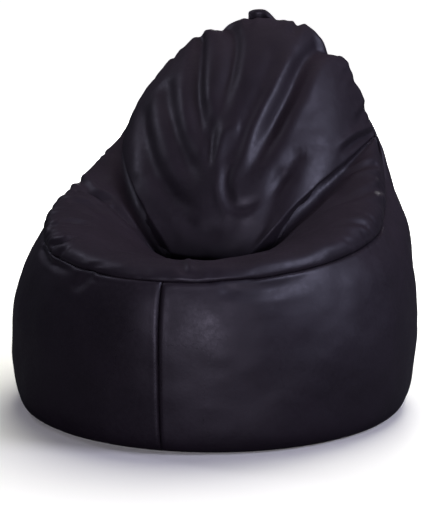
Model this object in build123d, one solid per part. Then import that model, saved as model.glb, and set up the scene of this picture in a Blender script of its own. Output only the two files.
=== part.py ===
from build123d import *
from math import asin, cos, degrees, radians, sin, tan
import os

# A large bean bag chair: a sewn faux leather cover over a liner bag full of polystyrene
# beads. Millimetres, +Z up, the sitter faces -Y. The origin is the middle of the base
# panel, on the floor.
#
# The cover's panels are cubic Bezier surfaces that share their seam curves. Every layer
# inside it is the same set of surfaces, shrunk about one point in the middle of the bag.

# ---- the bag's outline
BASE_R = 394.0  # flat part that rests on the floor
TOE_R = 428.0  # how far the wall runs out along the floor before it turns up
HEEL_R, HEEL_Z = 433.0, 48.0
RING_R, RING_Z = 437.0, 100.0  # widest circle, low on the wall
RING_Y = 6.0  # its centre sits a little behind the base's
TOE_Y = 2.0
BULGE_R, BULGE_Z = 443.0, 178.0
SHOULDER_DEG = 128.0  # direction of the shoulders, measured from the front
REAR_SAG = 62.0  # how far the rear profile bows out from its chord

# The crest is the seam round the top of the wall. It runs from the front, past the side,
# to the shoulder, where the arm ends, and then over the head of the backrest.
CREST_FRONT = (0.0, -407.6, 351.8)
CREST_SIDE = (364.6, 20.3, 388.9)
CREST_SHOULDER = (293.0, 344.8, 540.9)
CREST_HEAD = (0.0, 355.7, 801.4)
CREST_SIDE_RUN = (-0.08, 0.97, 0.12)
CREST_SHOULDER_RUN = (-0.35, 0.42, 0.99)
CREST_REACH = (272.6, 119.4, 130.0, 123.2, 109.9, 175.5)

# The wall's fullness below the crest.
FULL_FRONT = (0.0, -451.0, 269.3)
FULL_SIDE = (438.7, 10.6, 311.4)
FULL_SHOULDER = (366.9, 328.5, 426.7)
FULL_SIDE_RUN = (-0.02, 0.98, 0.10)
FULL_SHOULDER_RUN = (-0.72, 0.62, 0.25)
FULL_REACH = (265.0, 150.0, 125.0, 110.0, 130.0, 220.0)

# The crease where the backrest rises out of the seat: a flat middle, then up each side.
TIP_Y, TIP_Z = -39.1, 308.4
TIP_HALF = 94.4
TIP_REACH, TIP_END_REACH = 40.0, 10.0
CREASE_END = (TIP_HALF, TIP_Y + 8.0, TIP_Z + 10.0)
CREASE_LOW = (130.6, -24.5, 385.1)
CREASE_HIGH = (246.0, 20.7, 484.2)

# The seat's rolled edge and its dip, as control points between crest and crease.
ROLL_FRONT, ROLL_SIDE = (0.0, -378.0, 432.0), (352.0, -40.0, 512.0)
ROLL_RUN = (7.0, 222.0, 42.0)
ROLL_AFTER = 0.54  # the arm's share of the roll's run
ROLL_REACH, DIP_REACH = 225.0, 70.0  # how far each row runs level from the middle
ARM_ROLL, ARM_DIP = (322.0, 240.0, 560.0), (262.0, 225.0, 500.0)
DIP_FRONT, DIP_SIDE = (0.0, -190.0, 322.0), (170.0, -10.0, 375.0)
DIP_RUN = (30.0, 100.0, 30.0)

# The backrest's fullness.
LUMBAR = ((0.0, -12.0, 480.0), (60.0, -12.0, 480.0), (150.0, 10.0, 440.0))
BLADES = ((0.0, 215.0, 800.0), (130.0, 215.0, 800.0), (285.0, 150.0, 640.0))

# ---- layers, as depths below the cover's outside at the wall
HEART = Vector(0.0, 60.0, 150.0)  # the point that the layers shrink towards
WALL_DISTANCE = 440.0  # from the heart to the wall
COVER_T = 2.0
LINER_DEPTH, LINER_T = 7.0, 0.6
FILL_DEPTH = 8.2

# ---- zip, in the rear seam
ZIP_LOW_Z, ZIP_HIGH_Z = 124.0, 565.0  # the opening's ends
SLOT_HALF = 7.0  # half the width between the folded panel edges
SLOT_CUT = 6.0  # half the depth of the cutter that opens it
TAPE_HALF, TAPE_GAP_HALF, TAPE_T = 14.0, 0.8, 0.7
TAPE_DEPTH = 2.5
TAPE_OVERRUN_DEG = 1.2  # tape sewn in past each end of the opening
COIL_HALF, COIL_T = 3.4, 2.0
COIL_MARGIN_DEG = 0.5
GUARD_HALF, GUARD_T, GUARD_DEPTH = 22.0, 0.6, 5.0
STOP_L = 3.0
STOP_STAND = 0.4  # how far a stop stands above the coil

SLIDER_W, SLIDER_L, SLIDER_CORNER = 11.0, 14.0, 2.5
SLIDER_CLOSED_DEG = 1.2  # closed, its middle is this far under the slot's top end
SLIDER_TOP_T, SLIDER_UNDER_T, SLIDER_UNDER_Z = 1.4, 1.0, -4.6
FLANGE_W, FLANGE_L, FLANGE_Z = 1.2, 9.0, -2.1
POST_W, POST_L, POST_INSET = 0.9, 4.0, 1.0
LUG_W, LUG_L, LUG_GAP, LUG_OVER_PIN = 1.0, 4.4, 5.4, 1.5
JOIN = 0.2  # how far one part of the slider or the pull runs into the next
PIN_R, PIN_Z = 0.8, 3.9
EYE_R, EYE_BORE_R, EYE_W = 2.0, 1.1, 4.4
PULL_W, PULL_L, PULL_T = 7.0, 23.0, 1.2
PULL_START = 3.6  # the wide part begins clear of the lugs
PULL_CORNER = 2.4
PULL_HOLE_R, PULL_HOLE_INSET = 1.5, 4.5

# ---- carry handle, a folded strap loop behind the head
HANDLE_X, HANDLE_W = 20.0, 62.0
HANDLE_DROP = 26.0  # its foot, below the crest down the rear seam
HANDLE_T = 2.4
HANDLE_STAND = 5.0  # from the wall to the middle of its foot
LOOP_RISE, LOOP_R = 40.0, 7.0
PATCH_W, PATCH_L, PATCH_T = 84.0, 58.0, 1.4
PATCH_GAP = 0.1
PATCH_BELOW_FOOT = 14.5  # the patch's middle, down the seam from the handle's foot
PATCH_CUT = 60.0  # depth of the cutter that gives its outline

X = Vector(1, 0, 0)


# ---- control nets -------------------------------------------------------------------
def circle_row(radius, z, centre_y=0.0):
    """Three spans of a level circle from the front round to the rear."""
    spans = []
    for start, end in ((0.0, 90.0), (90.0, SHOULDER_DEG), (SHOULDER_DEG, 180.0)):
        reach = 4 / 3 * tan(radians(end - start) / 4) * radius
        points = []
        for angle, side in ((radians(start), 1), (radians(end), -1)):
            on_circle = Vector(radius * sin(angle), centre_y - radius * cos(angle), z)
            handle = on_circle + Vector(cos(angle), sin(angle), 0) * (side * reach)
            points += [on_circle, handle] if side > 0 else [handle, on_circle]
        spans.append(points)
    return spans


def anchored_row(front, side, shoulder, rear, side_run, shoulder_run, reach):
    """Three spans through four points, level where they cross the middle plane."""
    front, side, shoulder, rear = (Vector(*p) for p in (front, side, shoulder, rear))
    along, up = Vector(*side_run).normalized(), Vector(*shoulder_run).normalized()
    a, b, c, d, e, f = reach
    return [
        [front, front + X * a, side - along * b, side],
        [side, side + along * c, shoulder - up * d, shoulder],
        [shoulder, shoulder + up * e, rear + X * f, rear],
    ]


def rear_arc():
    """Centre, radius and the two inner control points of the rear profile's arc."""
    low = Vector(0, RING_Y + RING_R, RING_Z)
    high = Vector(*CREST_HEAD)
    chord = high - low
    radius = (chord.length**2 / 4 + REAR_SAG**2) / (2 * REAR_SAG)
    outward = Vector(0, chord.Z, -chord.Y).normalized()
    centre = (low + high) / 2 + outward * (REAR_SAG - radius)
    half = degrees(asin(chord.length / 2 / radius))
    reach = 4 / 3 * tan(radians(half) / 2) * radius
    leave = chord.normalized().rotate(Axis.X, -half)
    arrive = chord.normalized().rotate(Axis.X, half)
    return centre, radius, low + leave * reach, high - arrive * reach, leave


ARC_CENTRE, ARC_R, ARC_LOW, ARC_HIGH, ARC_LEAVE = rear_arc()


def follow_rear(row, point):
    """Put a level row's rear end on the rear profile."""
    for i in (2, 3):
        row[2][i] = Vector(row[2][i].X, point.Y, point.Z)
    return row


def wall_rows():
    """The rows of the lower wall, floor to ring, and of the upper wall, ring to crest."""
    ring = circle_row(RING_R, RING_Z, RING_Y)
    rear_heel = ring[2][3] - ARC_LEAVE * ((RING_Z - HEEL_Z) / ARC_LEAVE.Z)
    crest = anchored_row(CREST_FRONT, CREST_SIDE, CREST_SHOULDER, CREST_HEAD,
                         CREST_SIDE_RUN, CREST_SHOULDER_RUN, CREST_REACH)
    full = anchored_row(FULL_FRONT, FULL_SIDE, FULL_SHOULDER, tuple(ARC_HIGH),
                        FULL_SIDE_RUN, FULL_SHOULDER_RUN, FULL_REACH)
    lower = [
        circle_row(BASE_R, 0.0),
        circle_row(TOE_R, 0.0, TOE_Y),
        follow_rear(circle_row(HEEL_R, HEEL_Z, RING_Y), rear_heel),
        ring,
    ]
    upper = [ring, follow_rear(circle_row(BULGE_R, BULGE_Z, RING_Y), ARC_LOW), full, crest]
    return lower, upper


def through(point, run, before=1.0, after=1.0):
    """A row's side anchor with its two handles, in line."""
    point, run = Vector(*point), Vector(*run)
    return point - run * before, point, point + run * after


def seat_rows(crest):
    """Front and arm spans, from the crest in to the crease. The arm ends in a point."""
    shoulder = Vector(*CREST_SHOULDER)
    roll, dip = through(ROLL_SIDE, ROLL_RUN, after=ROLL_AFTER), through(DIP_SIDE, DIP_RUN)
    roll_front, dip_front = Vector(*ROLL_FRONT), Vector(*DIP_FRONT)
    front = [
        crest[0],
        [roll_front, roll_front + X * ROLL_REACH, roll[0], roll[1]],
        [dip_front, dip_front + X * DIP_REACH, dip[0], dip[1]],
        tip_row(),
    ]
    arm = [
        crest[1],
        [roll[1], roll[2], Vector(*ARM_ROLL), shoulder],
        [dip[1], dip[2], Vector(*ARM_DIP), shoulder],
        [Vector(*CREASE_END), Vector(*CREASE_LOW), Vector(*CREASE_HIGH), shoulder],
    ]
    return front, arm


def tip_row():
    """Half of the crease's flat middle."""
    tip = Vector(0, TIP_Y, TIP_Z)
    return [
        tip,
        tip + X * TIP_REACH,
        tip + X * (TIP_HALF - TIP_END_REACH),
        Vector(*CREASE_END),
    ]


def backrest_net(crest):
    """From the crease's middle up to the head, each row running out to one side."""
    return [
        tip_row(),
        [*(Vector(*p) for p in LUMBAR), Vector(*CREASE_LOW)],
        [*(Vector(*p) for p in BLADES), Vector(*CREASE_HIGH)],
        crest[2][::-1],
    ]


LOWER, UPPER = wall_rows()
CREST = UPPER[3]
WALL = [[row[span] for row in rows] for rows in (LOWER, UPPER) for span in range(3)]
SEAT = list(seat_rows(CREST))
BACKREST = [backrest_net(CREST)]


# ---- layers -------------------------------------------------------------------------
def shrink(depth):
    """The scale of the layer that lies this deep at the wall."""
    return 1 - depth / WALL_DISTANCE


def placed(points, depth, side=1):
    """Control points on one side of the bag, moved in to a layer."""
    scale = shrink(depth)
    return [HEART + (Vector(side * p.X, p.Y, p.Z) - HEART) * scale for p in points]


def skin(nets, depth, sides=(1, -1)):
    """The surfaces of some nets in one layer."""
    return [
        Face.make_bezier_surface([placed(row, depth, side) for row in net])
        for net in nets
        for side in sides
    ]


def seam_wall(points, outer, inner, side):
    """The strip between two layers along a seam."""
    curves = [Edge.make_bezier(*placed(points, depth, side)) for depth in (outer, inner)]
    return Face.make_surface_from_curves(*curves)


def column(net, index):
    return [row[index] for row in net]


def sheet(nets, seams, outer, inner, sides=(1, -1)):
    """A panel: two layers' surfaces, closed along its seams."""
    faces = skin(nets, outer, sides) + skin(nets, inner, sides)
    faces += [seam_wall(points, outer, inner, side) for points in seams for side in sides]
    return Solid(Shell(faces))


def disc(depth):
    """The flat bottom of one layer."""
    edges = [
        Edge.make_bezier(*placed(span, depth, side)) for span in LOWER[0] for side in (1, -1)
    ]
    return Face(Wire(edges))


BASE_SEAMS = LOWER[0]
FRONT_SEAMS = [column(WALL[0], 0), column(WALL[3], 0)]
REAR_SEAMS = [column(WALL[2], 3), column(WALL[5], 3)]
SEAT_SEAMS = [CREST[0], CREST[1], SEAT[0][3], SEAT[1][3]]
BACK_SEAMS = [tip_row(), SEAT[1][3], CREST[2]]
MIDDLE_SEAMS = [column(SEAT[0], 0), column(BACKREST[0], 0)]


def base_disc(outer, inner):
    rims = [seam_wall(span, outer, inner, side) for span in BASE_SEAMS for side in (1, -1)]
    return Solid(Shell([disc(outer), disc(inner), *rims]))


def side_panel(side):
    """From the front seam round to the rear seam, with the zip's slot along its edge."""
    seams = BASE_SEAMS + FRONT_SEAMS + REAR_SEAMS + CREST
    panel = sheet(WALL, seams, 0.0, COVER_T, (side,))
    slot = zip_band(-SLOT_HALF, SLOT_HALF, -SLOT_CUT, SLOT_CUT, SLOT_LOW, SLOT_HIGH)
    return panel - slot


def liner_half(side):
    """Wall, seat and backrest in one, sewn to its other half down the middle."""
    seams = BASE_SEAMS + FRONT_SEAMS + REAR_SEAMS + MIDDLE_SEAMS
    return sheet(WALL + SEAT + BACKREST, seams, LINER_DEPTH, LINER_DEPTH + LINER_T, (side,))


def bead_fill():
    return Solid(Shell([*skin(WALL + SEAT + BACKREST, FILL_DEPTH), disc(FILL_DEPTH)]))


# ---- zip ----------------------------------------------------------------------------
def arc_angle(z):
    """Where the rear profile passes a height, in degrees about the arc's centre."""
    return degrees(asin((z - ARC_CENTRE.Z) / ARC_R))


SLOT_LOW, SLOT_HIGH = arc_angle(ZIP_LOW_Z), arc_angle(ZIP_HIGH_Z)
SLIDER_ANGLE = SLOT_HIGH - SLIDER_CLOSED_DEG


def on_rear(angle):
    """A frame on the rear seam: x across, z out of the bag, y down the seam."""
    out = Vector(0, cos(radians(angle)), sin(radians(angle)))
    return Plane(origin=ARC_CENTRE + out * ARC_R, x_dir=X, z_dir=out)


def zip_band(x_low, x_high, z_low, z_high, start, end):
    """A band that follows the rear profile between two angles."""
    across = Plane(on_rear(start).origin, x_dir=X, z_dir=on_rear(start).y_dir * -1)
    middle = ((x_low + x_high) / 2, (z_low + z_high) / 2)
    section = across * Pos(*middle) * Rectangle(x_high - x_low, z_high - z_low)
    return revolve(section, Axis(ARC_CENTRE, X), end - start)


def side_band(side, near, far, z_low, z_high, start, end):
    """A band on one side of the seam."""
    low, high = sorted((side * near, side * far))
    return zip_band(low, high, z_low, z_high, start, end)


def tape(side):
    start, end = SLOT_LOW - TAPE_OVERRUN_DEG, SLOT_HIGH + TAPE_OVERRUN_DEG
    return side_band(side, TAPE_GAP_HALF, TAPE_HALF, -TAPE_DEPTH - TAPE_T, -TAPE_DEPTH,
                     start, end)


def coil(side):
    start, end = SLOT_LOW + COIL_MARGIN_DEG, SLOT_HIGH - COIL_MARGIN_DEG
    return side_band(side, TAPE_GAP_HALF, COIL_HALF, -TAPE_DEPTH, COIL_T - TAPE_DEPTH,
                     start, end)


def stop_block(width, x, angle):
    """A crimped stop that stands on the tape past the coil's end."""
    height = COIL_T + STOP_STAND
    block = Pos(x, 0, height / 2 - TAPE_DEPTH) * Box(width, STOP_L, height)
    return on_rear(angle) * block


def top_stops():
    width = COIL_HALF - TAPE_GAP_HALF
    offset = TAPE_GAP_HALF + width / 2
    angle = SLOT_HIGH - COIL_MARGIN_DEG + degrees(STOP_L / ARC_R)
    return Compound([stop_block(width, side * offset, angle) for side in (1, -1)])


def bottom_stop():
    angle = SLOT_LOW + COIL_MARGIN_DEG - degrees(STOP_L / ARC_R)
    return stop_block(2 * COIL_HALF, 0.0, angle)


def guard_flap():
    """The fabric flap behind the tapes that keeps the liner out of the teeth."""
    start, end = SLOT_LOW - TAPE_OVERRUN_DEG, SLOT_HIGH + TAPE_OVERRUN_DEG
    return zip_band(-GUARD_HALF, GUARD_HALF, -GUARD_DEPTH - GUARD_T, -GUARD_DEPTH, start, end)


def x_cylinder(radius, length):
    return Rot(0, 90, 0) * Cylinder(radius, length)


def slider():
    """Two plates round the tapes, joined by the post that parts the teeth."""
    under_top = SLIDER_UNDER_Z + SLIDER_UNDER_T
    plate = Pos(0, 0, SLIDER_TOP_T / 2) * Box(SLIDER_W, SLIDER_L, SLIDER_TOP_T)
    plate = fillet(plate.edges().filter_by(Axis.Z), SLIDER_CORNER)
    under_z = SLIDER_UNDER_Z + SLIDER_UNDER_T / 2
    under = Pos(0, 0, under_z) * Box(SLIDER_W, SLIDER_L, SLIDER_UNDER_T)
    under = fillet(under.edges().filter_by(Axis.Z), SLIDER_CORNER)
    post_y = POST_INSET - (SLIDER_L - POST_L) / 2
    post = Pos(0, post_y, under_top / 2) * Box(POST_W, POST_L, 2 * JOIN - under_top)
    body = plate + under + post
    for side in (1, -1):
        flange_x = side * (SLIDER_W - FLANGE_W) / 2
        flange = Pos(flange_x, 0, FLANGE_Z / 2) * Box(FLANGE_W, FLANGE_L, JOIN - FLANGE_Z)
        lug_x = side * (LUG_GAP + LUG_W) / 2
        lug_h = PIN_Z + LUG_OVER_PIN - SLIDER_TOP_T + JOIN
        lug_z = SLIDER_TOP_T - JOIN + lug_h / 2
        body += flange + Pos(lug_x, 0, lug_z) * Box(LUG_W, LUG_L, lug_h)
    body += Pos(0, 0, PIN_Z) * x_cylinder(PIN_R, LUG_GAP + LUG_W)
    return on_rear(SLIDER_ANGLE) * body


def pull():
    """The tab, hanging from the slider's pin."""
    eye = x_cylinder(EYE_R, EYE_W)
    neck_l = PULL_START - EYE_BORE_R + 3 * JOIN
    neck = Pos(0, (EYE_BORE_R + PULL_START) / 2 + JOIN, 0) * Box(EYE_W, neck_l, PULL_T)
    tab = Pos(0, PULL_START + PULL_L / 2, 0) * Box(PULL_W, PULL_L, PULL_T)
    tab = fillet(tab.edges().filter_by(Axis.Z), PULL_CORNER)
    hole = Pos(0, PULL_START + PULL_L - PULL_HOLE_INSET, 0) * Cylinder(PULL_HOLE_R, 2 * PULL_T)
    shape = eye + neck + tab - x_cylinder(EYE_BORE_R, 2 * EYE_W) - hole
    return on_rear(SLIDER_ANGLE) * Pos(0, 0, PIN_Z) * shape


# ---- carry handle -------------------------------------------------------------------
HEAD_ANGLE = arc_angle(CREST_HEAD[2])
FOOT_ANGLE = HEAD_ANGLE - degrees(HANDLE_DROP / ARC_R)
HANDLE_AXIS = on_rear(FOOT_ANGLE).from_local_coords((HANDLE_X, 0, HANDLE_STAND))


def carry_handle():
    """A strap folded back on itself: two leaves from a round foot to a soft bend."""
    foot = Vector(HANDLE_AXIS.Y, HANDLE_AXIS.Z)
    bend = foot + Vector(0, LOOP_RISE)
    lean = degrees(asin(LOOP_R / LOOP_RISE))
    touch = Vector(LOOP_R, 0).rotate(Axis.Z, lean)
    right, left = bend + touch, bend + Vector(-touch.X, touch.Y)
    path = Wire([
        Line(foot, right).edge(),
        ThreePointArc(right, bend + Vector(0, LOOP_R), left).edge(),
        Line(left, foot).edge(),
    ])
    outer = path.offset_2d(HANDLE_T / 2)
    inner = path.offset_2d(-HANDLE_T / 2)
    section = Face(outer) - Face(inner)
    section += Pos(foot.X, foot.Y) * Circle(HANDLE_T)
    across = Plane(origin=(HANDLE_X - HANDLE_W / 2, 0, 0), x_dir=(0, 1, 0), z_dir=X)
    return extrude(across * section, HANDLE_W)


def handle_patch():
    """A doubled piece of the cover, sewn to the rear wall under the handle."""
    outer, inner = -PATCH_GAP - PATCH_T, -PATCH_GAP
    rear = [WALL[5]]
    seams = [WALL[5][0], WALL[5][3], column(WALL[5], 0)]
    wall = sheet(rear, seams, outer, inner)
    centre = on_rear(FOOT_ANGLE - degrees(PATCH_BELOW_FOOT / ARC_R))
    window = centre * Pos(HANDLE_X, 0, 0) * Box(PATCH_W, PATCH_L, PATCH_CUT)
    return wall & window


def main():
    os.makedirs("parts", exist_ok=True)
    nodes = {
        "base_panel": base_disc(0.0, COVER_T),
        "left_side_panel": side_panel(-1),
        "right_side_panel": side_panel(1),
        "seat_panel": sheet(SEAT, SEAT_SEAMS, 0.0, COVER_T),
        "back_panel": sheet(BACKREST, BACK_SEAMS, 0.0, COVER_T),
        "liner_base": base_disc(LINER_DEPTH, LINER_DEPTH + LINER_T),
        "liner_left": liner_half(-1),
        "liner_right": liner_half(1),
        "bead_fill": bead_fill(),
        "zip_tape_left": tape(-1),
        "zip_tape_right": tape(1),
        "zip_coil_left": coil(-1),
        "zip_coil_right": coil(1),
        "zip_top_stops": top_stops(),
        "zip_bottom_stop": bottom_stop(),
        "zip_guard_flap": guard_flap(),
        "zip_slider": slider(),
        "zip_pull": pull(),
        "handle_patch": handle_patch(),
        "carry_handle": carry_handle(),
    }
    for name, shape in nodes.items():
        export_step(shape, f"parts/{name}.step")
    pin = on_rear(SLIDER_ANGLE).from_local_coords((0, 0, PIN_Z))
    print("zip travel axis", ARC_CENTRE, "radius", ARC_R)
    print("pull axis", pin)
    print("handle axis", HANDLE_AXIS)


main()
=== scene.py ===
import logging
import math
from dataclasses import dataclass, field
from enum import Enum
from typing import ClassVar, Sequence

import bmesh
import bpy
import numpy as np
from mathutils import Matrix, Vector, noise
from mathutils.bvhtree import BVHTree
from mathutils.kdtree import KDTree


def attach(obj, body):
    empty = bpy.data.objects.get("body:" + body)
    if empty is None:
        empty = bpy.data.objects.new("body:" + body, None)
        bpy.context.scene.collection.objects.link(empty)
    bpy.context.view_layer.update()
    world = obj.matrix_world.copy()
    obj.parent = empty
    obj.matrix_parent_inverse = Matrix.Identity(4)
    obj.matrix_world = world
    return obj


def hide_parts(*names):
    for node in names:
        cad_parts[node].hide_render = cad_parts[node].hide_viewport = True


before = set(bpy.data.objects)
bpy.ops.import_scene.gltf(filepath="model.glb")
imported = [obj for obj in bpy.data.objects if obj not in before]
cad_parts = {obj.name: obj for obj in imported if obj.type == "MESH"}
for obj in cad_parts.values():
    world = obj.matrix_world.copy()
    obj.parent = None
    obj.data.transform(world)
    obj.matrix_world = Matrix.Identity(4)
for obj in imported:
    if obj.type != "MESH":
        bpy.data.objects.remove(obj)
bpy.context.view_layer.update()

log = logging.getLogger("bean_bag_chair")
MM = 0.001
SPANS = ("front", "side", "rear")


class Panel(Enum):
    """The cut pieces of the cover. The value is the face's material index while it is one skin."""

    BASE = 0
    LEFT = 1
    RIGHT = 2
    SEAT = 3
    BACK = 4


# ---- the bag's outline --------------------------------------------------------------
def bernstein(order: int, at: np.ndarray) -> np.ndarray:
    """The Bernstein polynomials of an order, one row for each place.

    Args:
        order: The curve's order.
        at: Places from 0 to 1.

    Returns:
        An array of len(at) rows and order + 1 columns.
    """
    at = np.asarray(at, float)
    return np.stack(
        [math.comb(order, i) * at**i * (1 - at) ** (order - i) for i in range(order + 1)], -1
    )


def unit(vector: Sequence[float]) -> np.ndarray:
    """The vector at length one."""
    vector = np.asarray(vector, float)
    return vector / np.linalg.norm(vector)


def turned(vector: np.ndarray, angle: float) -> np.ndarray:
    """A vector in the middle plane, turned about X by an angle in radians."""
    c, s = math.cos(angle), math.sin(angle)
    return np.array([vector[0], vector[1] * c - vector[2] * s, vector[1] * s + vector[2] * c])


@dataclass(frozen=True)
class BagShape:
    """The bag's outline as cubic nets that share their seam rows. Millimetres.

    The rows run from the front, past the side, to the shoulder and on to the rear, so each
    has three spans. Nets are given for the +X half.
    """

    base_r: float = 394.0
    toe_r: float = 428.0
    heel: tuple[float, float] = (433.0, 48.0)
    ring: tuple[float, float] = (437.0, 100.0)
    bulge: tuple[float, float] = (443.0, 178.0)
    ring_y: float = 6.0
    shoulder_deg: float = 128.0
    rear_sag: float = 62.0
    crest_points: tuple = (
        (0.0, -407.6, 351.8), (364.6, 20.3, 388.9), (293.0, 344.8, 540.9), (0.0, 355.7, 801.4))
    crest_runs: tuple = ((-0.08, 0.97, 0.12), (-0.35, 0.42, 0.99))
    crest_reach: tuple = (272.6, 119.4, 130.0, 123.2, 109.9, 175.5)
    full_points: tuple = ((0.0, -451.0, 269.3), (438.7, 10.6, 311.4), (366.9, 328.5, 426.7))
    full_runs: tuple = ((-0.02, 0.98, 0.10), (-0.72, 0.62, 0.25))
    full_reach: tuple = (265.0, 150.0, 125.0, 110.0, 130.0, 220.0)
    tip: tuple[float, float] = (-39.1, 308.4)
    tip_half: float = 94.4
    tip_corner_rise: tuple[float, float] = (8.0, 10.0)
    tip_reach: tuple[float, float] = (40.0, 10.0)  # from the middle, and back from the corner
    roll_reach: float = 225.0
    dip_reach: float = 70.0
    arm_ease: float = 0.54
    crease: tuple = ((130.6, -24.5, 385.1), (246.0, 20.7, 484.2))
    roll: tuple = ((0.0, -378.0, 432.0), (352.0, -40.0, 512.0), (7.0, 222.0, 42.0))
    dip: tuple = ((0.0, -190.0, 322.0), (170.0, -10.0, 375.0), (30.0, 100.0, 30.0))
    arm_roll: tuple = (322.0, 240.0, 560.0)
    arm_dip: tuple = (262.0, 225.0, 500.0)
    lumbar: tuple = ((0.0, -12.0, 480.0), (60.0, -12.0, 480.0), (150.0, 10.0, 440.0))
    blades: tuple = ((0.0, 215.0, 800.0), (130.0, 215.0, 800.0), (285.0, 150.0, 640.0))

    def circle_row(self, radius: float, z: float, centre_y: float = 0.0) -> np.ndarray:
        """Three spans of a level circle.

        Args:
            radius: The circle's radius.
            z: Its height.
            centre_y: Where its centre lies.

        Returns:
            Three spans of four control points.
        """
        spans = []
        turns = (0.0, 90.0, self.shoulder_deg, 180.0)
        for start, end in zip(turns, turns[1:]):
            reach = 4 / 3 * math.tan(math.radians(end - start) / 4) * radius
            a, b = math.radians(start), math.radians(end)
            low = np.array([radius * math.sin(a), centre_y - radius * math.cos(a), z])
            high = np.array([radius * math.sin(b), centre_y - radius * math.cos(b), z])
            run_low, run_high = (np.array([math.cos(t), math.sin(t), 0.0]) for t in (a, b))
            spans.append([low, low + reach * run_low, high - reach * run_high, high])
        return np.array(spans)

    @staticmethod
    def anchored_row(points: Sequence, runs: Sequence, reach: Sequence[float]) -> np.ndarray:
        """Three spans through four points, level where they cross the middle plane.

        Args:
            points: Front, side, shoulder and rear points.
            runs: The directions at the side and at the shoulder.
            reach: The six handles' lengths.

        Returns:
            Three spans of four control points.
        """
        front, side, shoulder, rear = (np.asarray(p, float) for p in points)
        along, up, level = unit(runs[0]), unit(runs[1]), np.array([1.0, 0.0, 0.0])
        a, b, c, d, e, f = reach
        return np.array([
            [front, front + a * level, side - b * along, side],
            [side, side + c * along, shoulder - d * up, shoulder],
            [shoulder, shoulder + e * up, rear + f * level, rear],
        ])

    def rear_arc(self) -> tuple[np.ndarray, float, np.ndarray, np.ndarray, np.ndarray]:
        """The arc of the rear seam.

        Returns:
            Its centre, its radius, its two inner control points and its direction at the foot.
        """
        low = np.array([0.0, self.ring_y + self.ring[0], self.ring[1]])
        high = np.array(self.crest_points[3])
        chord = high - low
        length = float(np.linalg.norm(chord))
        radius = (length**2 / 4 + self.rear_sag**2) / (2 * self.rear_sag)
        outward = np.array([0.0, chord[2], -chord[1]]) / length
        centre = (low + high) / 2 + outward * (self.rear_sag - radius)
        half = math.asin(length / 2 / radius)
        reach = 4 / 3 * math.tan(half / 2) * radius
        leave, arrive = turned(chord / length, -half), turned(chord / length, half)
        return centre, radius, low + leave * reach, high - arrive * reach, leave

    @staticmethod
    def follow_rear(row: np.ndarray, point: np.ndarray) -> np.ndarray:
        """The row with its rear end put on the rear seam."""
        row[2, 2:, 1:] = point[1:]
        return row

    def wall_rows(self) -> tuple[list[np.ndarray], list[np.ndarray]]:
        """The rows of the lower wall, floor to ring, and of the upper wall, ring to crest."""
        _, _, arc_low, arc_high, leave = self.rear_arc()
        ring = self.circle_row(*self.ring, self.ring_y)
        heel_end = ring[2, 3] - leave * ((self.ring[1] - self.heel[1]) / leave[2])
        heel = self.follow_rear(self.circle_row(*self.heel, self.ring_y), heel_end)
        bulge = self.follow_rear(self.circle_row(*self.bulge, self.ring_y), arc_low)
        full = self.anchored_row((*self.full_points, arc_high), self.full_runs, self.full_reach)
        crest = self.anchored_row(self.crest_points, self.crest_runs, self.crest_reach)
        toe = self.circle_row(self.toe_r, 0.0, self.ring_y / 3)
        return [self.circle_row(self.base_r, 0.0), toe, heel, ring], [ring, bulge, full, crest]

    def nets(self) -> dict[str, np.ndarray]:
        """Every patch's net, by name.

        Returns:
            4 x 4 x 3 arrays. Walls run up and along, seat and arm run in and along, and the
            back runs up and out.
        """
        lower, upper = self.wall_rows()
        nets = {}
        for i, span in enumerate(SPANS):
            nets[f"low_{span}"] = np.array([row[i] for row in lower])
            nets[f"high_{span}"] = np.array([row[i] for row in upper])
        crest, shoulder = upper[3], np.array(self.crest_points[2])
        level = np.array([1.0, 0.0, 0.0])
        tip = np.array([0.0, *self.tip])
        corner = np.array([self.tip_half, *(np.array(self.tip) + self.tip_corner_rise)])
        leave, arrive = self.tip_reach
        tip_row = [tip, tip + leave * level, tip + (self.tip_half - arrive) * level, corner]
        crease = [corner, *(np.array(p) for p in self.crease), shoulder]
        roll_front, roll_side, roll_run = (np.array(p) for p in self.roll)
        dip_front, dip_side, dip_run = (np.array(p) for p in self.dip)
        nets["seat"] = np.array([
            crest[0],
            [roll_front, roll_front + self.roll_reach * level, roll_side - roll_run, roll_side],
            [dip_front, dip_front + self.dip_reach * level, dip_side - dip_run, dip_side],
            tip_row,
        ])
        nets["arm"] = np.array([
            crest[1],
            [roll_side, roll_side + self.arm_ease * roll_run, self.arm_roll, shoulder],
            [dip_side, dip_side + dip_run, self.arm_dip, shoulder],
            crease,
        ])
        nets["back"] = np.array([
            tip_row,
            [*self.lumbar, crease[1]],
            [*self.blades, crease[2]],
            crest[2][::-1],
        ])
        return nets


SHAPE = BagShape()
NETS = SHAPE.nets()
HEART = np.array([0.0, 60.0, 150.0])


@dataclass(frozen=True)
class RearSeam:
    """The arc that the rear seam follows, and the zip's places on it. Degrees and metres."""

    centre: Vector
    radius: float
    zip_low: float = 124.0
    zip_high: float = 565.0

    def angle(self, z: float) -> float:
        """Where the seam passes a height in millimetres, in degrees about the arc's centre."""
        return math.degrees(math.asin((z * MM - self.centre.z) / self.radius))

    @property
    def slot(self) -> tuple[float, float]:
        """The angles of the zip opening's two ends."""
        return self.angle(self.zip_low), self.angle(self.zip_high)

    def frame(self, degrees: float) -> Matrix:
        """X across, Y down the seam and Z out of the bag, at an angle."""
        out = Vector((0.0, math.cos(math.radians(degrees)), math.sin(math.radians(degrees))))
        down = out.cross(Vector((1.0, 0.0, 0.0)))
        turn = Matrix((Vector((1.0, 0.0, 0.0)), down, out)).transposed()
        return Matrix.Translation(self.centre + out * self.radius) @ turn.to_4x4()


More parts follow.
